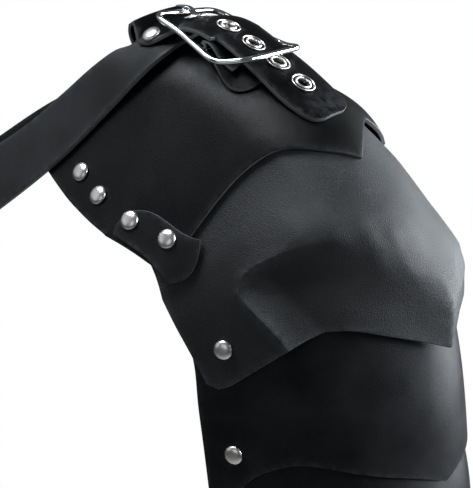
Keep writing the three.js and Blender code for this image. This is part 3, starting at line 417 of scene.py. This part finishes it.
def plated(name, shade, bright, smoothest, roughest, relief):
    """Plated metal, smeared and finely scratched by handling."""
    material, tree, shader, place = new_material(name)
    handled = add_node(tree, "ShaderNodeGroup", node_tree=HANDLING)
    tree.links.new(place, handled.inputs["Vector"])
    smear = handled.outputs["Smear"]
    tree.links.new(mixed_colour(tree, smear, shade, bright), shader.inputs["Base Color"])
    set_roughness(tree, shader, smear, smoothest, roughest)
    set_bump(tree, shader, handled.outputs["Height"], relief, SCRATCH_DEPTH)
    shader.inputs["Metallic"].default_value = 1.0
    return material


PLATE_HIDE = leather(
    "plate_hide", deep=(0.0014, 0.0015, 0.0017), pale=(0.0029, 0.0031, 0.0034),
    worn_and_sheen_colour=(0.024, 0.025, 0.027), smoothest=0.34, roughest=0.46, specular=0.16)
# Same black smooth hide as the plate, its dye lowered as painted shade: a shaded copy for the top strap and
# chape.
STRAP_HIDE_SHADED = leather(
    "strap_hide_shaded", deep=(0.0012, 0.0013, 0.0014), pale=(0.0025, 0.0026, 0.0028),
    worn_and_sheen_colour=(0.034, 0.035, 0.037), smoothest=0.34, roughest=0.46, specular=0.08)
# Same black smooth hide as the plate, its dye raised several times as painted light: a lit copy for the
# chest strap.
BAND_HIDE_LIT = leather(
    "band_hide_lit", deep=(0.0098, 0.0102, 0.0111), pale=(0.0195, 0.0203, 0.0218),
    worn_and_sheen_colour=(0.05, 0.052, 0.055), smoothest=0.34, roughest=0.46, specular=0.2)
# Same black smooth hide as the plate, its dye raised as painted light: a lit copy for the lower lames and
# tabs.
LAME_HIDE_LIT = leather(
    "lame_hide_lit", deep=(0.0084, 0.0088, 0.0097), pale=(0.0172, 0.018, 0.0195),
    worn_and_sheen_colour=(0.045, 0.047, 0.05), smoothest=0.29, roughest=0.37, specular=0.12)
PEBBLED_HIDE = leather(
    "pebbled_hide", deep=(0.0128, 0.0136, 0.0148), pale=(0.0214, 0.0226, 0.0243),
    worn_and_sheen_colour=(0.07, 0.072, 0.076), smoothest=0.46, roughest=0.58, specular=0.3, pebbles=1050.0, relief=0.42)
# The raw edge's colour is raised as a painted highlight of the edge catching light.
CUT_EDGE_LIT = cut_edge_lit("cut_edge_lit", dark=(0.04, 0.041, 0.042), light=(0.11, 0.111, 0.113))
NICKEL = plated(
    "nickel", shade=(0.76, 0.71, 0.675), bright=(0.97, 0.915, 0.875),
    smoothest=0.25, roughest=0.36, relief=0.05)
# Near-black metal for the eyelets' groove: a painted dark reflection.
GROOVE_DARK_REFLECTION = plated(
    "groove_dark_reflection", shade=(0.02, 0.02, 0.02), bright=(0.06, 0.058, 0.055),
    smoothest=0.35, roughest=0.5, relief=0.1)
CHROME = plated(
    "chrome", shade=(0.78, 0.79, 0.81), bright=(0.94, 0.95, 0.96),
    smoothest=0.06, roughest=0.15, relief=0.06)


# Leather sheets
def is_bent(edge, angle):
    return len(edge.link_faces) == 2 and edge.calc_face_angle() > angle


def rim_faces(mesh):
    """The narrow faces between a sheet's two sides, with a sharp edge along both."""
    found = []
    for face in mesh.faces:
        if len(face.edges) != 4:
            continue
        edges = [loop.edge for loop in face.loops]
        for i in (0, 1):
            across = max(edges[i + 1].calc_length(), edges[i - 1].calc_length())
            if is_bent(edges[i], CUT_BEND) and is_bent(edges[i + 2], CUT_BEND) and across < WIDEST_RIM:
                found.append(face)
    return found


def rim_corners(mesh):
    """The corners where a cut edge changes direction at once, such as a point or a square end."""
    found = []
    for vertex in mesh.verts:
        sharp = [edge for edge in vertex.link_edges if is_bent(edge, CUT_BEND)]
        along = [edge for edge in sharp if sum(f.material_index == CUT_FACE for f in edge.link_faces) == 1]
        if len(along) == 2:
            ways = [(edge.other_vert(vertex).co - vertex.co).normalized() for edge in along]
            if ways[0].angle(-ways[1]) > CORNER_TURN:
                found.append(vertex)
    return found


def fold_edges(mesh):
    """The edges along a fold: bent, but not cut."""
    return [edge for edge in mesh.edges if is_bent(edge, FOLD_BEND) and not is_bent(edge, CUT_BEND)]


def crest_points(mesh):
    """Points along a crisp outward fold, away from the cut edges, where a painted highlight goes."""
    found = []
    for edge in mesh.edges:
        inner = all(face.material_index == HIDE_FACE for face in edge.link_faces)
        if inner and edge.is_convex and is_bent(edge, CREST_BEND):
            first, second = (vertex.co for vertex in edge.verts)
            found += [first.lerp(second, step / CREST_STEPS) for step in range(CREST_STEPS + 1)]
    return found


def mark_wear_and_sheen(piece, sheen_spots):
    """Stores how near each point is to a scuffed cut edge, and to the places given a painted highlight or
    painted sheen, for the paler finish.
    """
    mesh = piece.data
    rim = {i for face in mesh.polygons if face.material_index == CUT_FACE for i in face.vertices}
    tree = KDTree(len(rim))
    for i in rim:
        tree.insert(mesh.vertices[i].co, i)
    tree.balance()
    layer = mesh.attributes.new("wear_and_sheen_near", "FLOAT", "POINT")
    for vertex in mesh.vertices:
        *_, distance = tree.find(vertex.co)
        wear_and_sheen = math.exp(-((distance / RIM_WEAR_REACH) ** 2))
        for place, reach, strength in sheen_spots:
            wear_and_sheen = max(wear_and_sheen, strength * math.exp(-(((vertex.co - place).length / reach) ** 2)))
        layer.data[vertex.index].value = wear_and_sheen


def sheet_of(name, hide, folded=False, sheen_spots=()):
    """A leather sheet from its solid: smooth faces, a raw edge all round, and softly rounded corners."""
    piece = copy_of(name, name + "_hide")
    piece.data.materials.append(hide)
    piece.data.materials.append(CUT_EDGE_LIT)
    edit(piece, "EDGE")
    bpy.ops.mesh.edges_select_sharp(sharpness=CUT_BEND)
    bpy.ops.transform.edge_crease(value=FULL_CREASE)
    mesh = bmesh.from_edit_mesh(piece.data)
    for face in rim_faces(mesh):
        face.material_index = CUT_FACE
    sheen_spots = list(sheen_spots)
    if folded:
        # A fold's crest gets a painted highlight: paler colour laid along it.
        sheen_spots += [(point, *highlight) for point in crest_points(mesh) for highlight in CREST_HIGHLIGHTS]
        bpy.ops.mesh.select_all(action="DESELECT")
        for edge in fold_edges(mesh):
            edge.select = True
        bmesh.update_edit_mesh(piece.data)
        bpy.ops.transform.edge_crease(value=FOLD_CREASE)
    bpy.ops.mesh.select_mode(type="VERT")
    bpy.ops.mesh.select_all(action="DESELECT")
    mesh = bmesh.from_edit_mesh(piece.data)
    for vertex in rim_corners(mesh):
        vertex.select = True
    bmesh.update_edit_mesh(piece.data)
    bpy.ops.transform.vert_crease(value=FULL_CREASE)
    close()
    subdivide(piece)
    round_edges(piece, RIM_ROUNDING, use_clamp_overlap=False)
    only(piece)
    bpy.ops.object.shade_smooth_by_angle(angle=SHADING_BEND)
    mark_wear_and_sheen(piece, sheen_spots)
    settle(piece, name)


sheet_of("shoulder_plate", PLATE_HIDE)
sheet_of("chape", STRAP_HIDE_SHADED)
strap_corners = [vertex.co.copy() for vertex in frame["nodes"]["top_strap"].data.vertices]
tongue_tip = max(strap_corners, key=lambda corner: corner.x)
# The tongue's tip gets a painted sheen: paler colour laid round it.
sheet_of("top_strap", STRAP_HIDE_SHADED, sheen_spots=[(tongue_tip, *TIP_SHEEN)])
sheet_of("chest_strap", BAND_HIDE_LIT)
for part in ("lame_middle", "lame_lower", "tab_front", "tab_back"):
    sheet_of(part, LAME_HIDE_LIT)
sheet_of("lame_upper", PEBBLED_HIDE, folded=True)


# Turned metal
def turned(name, profile, sides, ring):
    """A piece turned about Z from rows of radius and height, closed by caps or, for a ring, on itself."""
    bpy.ops.object.select_all(action="DESELECT")
    radius, height = profile[0]
    bpy.ops.mesh.primitive_circle_add(vertices=sides, radius=radius * MM, location=(0, 0, height * MM))
    piece = bpy.context.active_object
    piece.name = name
    bpy.ops.object.transform_apply()
    edit(piece, "EDGE")
    bpy.ops.mesh.select_all(action="SELECT")
    for (radius, height), (wider, higher) in zip(profile, profile[1:]):
        bpy.ops.mesh.extrude_edges_move(TRANSFORM_OT_translate={"value": (0, 0, (higher - height) * MM)})
        scale = wider / radius
        bpy.ops.transform.resize(value=(scale, scale, 1), center_override=(0, 0, 0))
    bpy.ops.mesh.select_all(action="DESELECT")
    bpy.ops.mesh.select_non_manifold()
    if ring:
        bpy.ops.mesh.bridge_edge_loops()
    else:
        bpy.ops.mesh.edge_face_add()
        bpy.ops.mesh.select_all(action="DESELECT")
        bpy.ops.mesh.select_non_manifold()
        bpy.ops.mesh.edge_face_add()
    bpy.ops.mesh.select_all(action="SELECT")
    bpy.ops.mesh.normals_make_consistent(inside=False)
    bpy.ops.mesh.faces_shade_smooth()
    close()
    subdivide(piece)
    return piece


def corner_counts(name):
    """How many triangles of a solid meet at each of its corners."""
    counts = {}
    mesh = frame["nodes"][name].data
    for face in mesh.polygons:
        for i in face.vertices:
            corner = tuple(round(x, CORNER_DIGITS) for x in mesh.vertices[i].co)
            counts[corner] = counts.get(corner, 0) + 1
    return {Vector(corner).freeze(): count for corner, count in counts.items()}


def rivet_seat(name):
    """Where a rivet's head sits, the way it points and its head's radius."""
    counts = corner_counts(name)
    # Most triangles meet at the two ends of the rivet's axis.
    first, second = sorted(counts, key=counts.get)[-2:]
    along = (first - second).normalized()
    out = {c: (c - second - along * (c - second).dot(along)).length for c in counts}
    wide = max(out, key=out.get)
    seat = second + along * (wide - second).dot(along)
    apex = first if (first - seat).length < (second - seat).length else second
    return seat, (apex - seat).normalized(), out[wide]


def eyelet_seat(name):
    """The middle of an eyelet's washer and the way it faces."""
    points = list(corner_counts(name))
    middle = sum(points, Vector()) / len(points)
    ring = sorted(points, key=lambda c: (c - middle).length)[-SOLID_EYELET_SIDES:]
    centre = sum(ring, Vector()) / len(ring)
    faces = max(((a - centre).cross(b - centre) for a in ring for b in ring), key=lambda n: n.length)
    faces.normalize()
    if faces.dot(centre - middle) < 0:
        faces.negate()
    return centre, faces


def put(model, name, seat, axis, size=1.0):
    """A copy of a turned piece with its own mesh, stood on its seat."""
    only(model)
    bpy.ops.object.duplicate()
    piece = bpy.context.active_object
    piece.name = name + "_metal"
    piece.location = seat
    piece.rotation_mode = "QUATERNION"
    piece.rotation_quaternion = axis.to_track_quat("Z", "Y")
    piece.scale = (size, size, size)
    bpy.ops.object.transform_apply(location=True, rotation=True, scale=True)
    settle(piece, name)


stud = turned("stud_model", STUD_PROFILE, STUD_SIDES, ring=False)
stud.data.materials.append(NICKEL)
for part in nodes_named("rivet_"):
    seat, axis, radius = rivet_seat(part)
    put(stud, part, seat, axis, radius / (STUD_RADIUS * MM))
bpy.data.objects.remove(stud)

eyelet = turned("eyelet_model", EYELET_PROFILE, EYELET_SIDES, ring=True)
eyelet.data.materials.append(NICKEL)
eyelet.data.materials.append(GROOVE_DARK_REFLECTION)
# The groove's faces take the painted dark reflection.
for face in eyelet.data.polygons:
    radius = face.center.xy.length / MM
    height = face.center.z / MM
    if GROOVE_INNER < radius < GROOVE_OUTER and 0 < height < GROOVE_TOP:
        face.material_index = DARK_REFLECTION_FACE
for part in nodes_named("eyelet_"):
    seat, axis = eyelet_seat(part)
    put(eyelet, part, seat, axis)
bpy.data.objects.remove(eyelet)


# Buckle
def wire_of(name, rounding=0):
    """A bright metal piece from its solid, its corners rounded where it has any."""
    piece = copy_of(name, name + "_metal")
    piece.data.materials.append(CHROME)
    if rounding:
        round_edges(piece, rounding)
    subdivide(piece)
    settle(piece, name)


wire_of("buckle_frame")
wire_of("buckle_prong", PRONG_ROUNDING)


# Studio
def aim(thing, at):
    thing.rotation_mode = "QUATERNION"
    thing.rotation_quaternion = (at - thing.location).to_track_quat("-Z", "Y")


def softbox(name, direction, width, power):
    """A square soft light that faces the pauldron."""
    place = LIT_POINT + Vector(direction).normalized() * LIGHT_DISTANCE
    bpy.ops.object.light_add(type="AREA", location=place)
    light = bpy.context.active_object
    light.name = name
    light.data.shape = "SQUARE"
    light.data.size = width
    light.data.energy = power
    light.data.color = DAYLIGHT
    aim(light, LIT_POINT)


def backdrop_white(tree, surface, output):
    """What the camera sees straight on is plain white, whatever light falls there."""
    seen = add_node(tree, "ShaderNodeLightPath")
    mix = add_node(tree, "ShaderNodeMixShader")
    white = add_node(tree, "ShaderNodeEmission", {"Color": WHITE, "Strength": 1.0})
    factor, lit, plain = mix.inputs
    tree.links.new(seen.outputs["Is Camera Ray"], factor)
    tree.links.new(surface, lit)
    tree.links.new(white.outputs[0], plain)
    tree.links.new(mix.outputs[0], output.inputs["Surface"])


bpy.ops.object.camera_add(location=LOOK_AT + VIEW_FROM * CAMERA_DISTANCE)
camera = bpy.context.active_object
camera.name = "photo_view"
camera.data.lens = CAMERA_LENS
camera.data.sensor_width = SENSOR_WIDTH
aim(camera, LOOK_AT)
bpy.context.scene.camera = camera

bpy.ops.mesh.primitive_plane_add(size=FLOOR_SIZE, location=(0, 0, FLOOR_HEIGHT))
floor = bpy.context.active_object
floor.name = "studio_floor"
pale = bpy.data.materials.new("pale_floor")
pale.use_nodes = True
shader = pale.node_tree.nodes["Principled BSDF"]
shader.inputs["Base Color"].default_value = FLOOR_GREY
shader.inputs["Roughness"].default_value = FLOOR_ROUGHNESS
backdrop_white(pale.node_tree, shader.outputs[0], pale.node_tree.nodes["Material Output"])
floor.data.materials.append(pale)

world = bpy.data.worlds.new("studio")
world.use_nodes = True
bpy.context.scene.world = world
room = world.node_tree.nodes["Background"]
room.inputs["Color"].default_value = ROOM_COLOUR
room.inputs["Strength"].default_value = ROOM_STRENGTH
backdrop_white(world.node_tree, room.outputs[0], world.node_tree.nodes["World Output"])

for name, direction, width, power in SOFTBOXES:
    softbox(name, direction, width, power)
bpy.context.scene.view_settings.view_transform = "Standard"
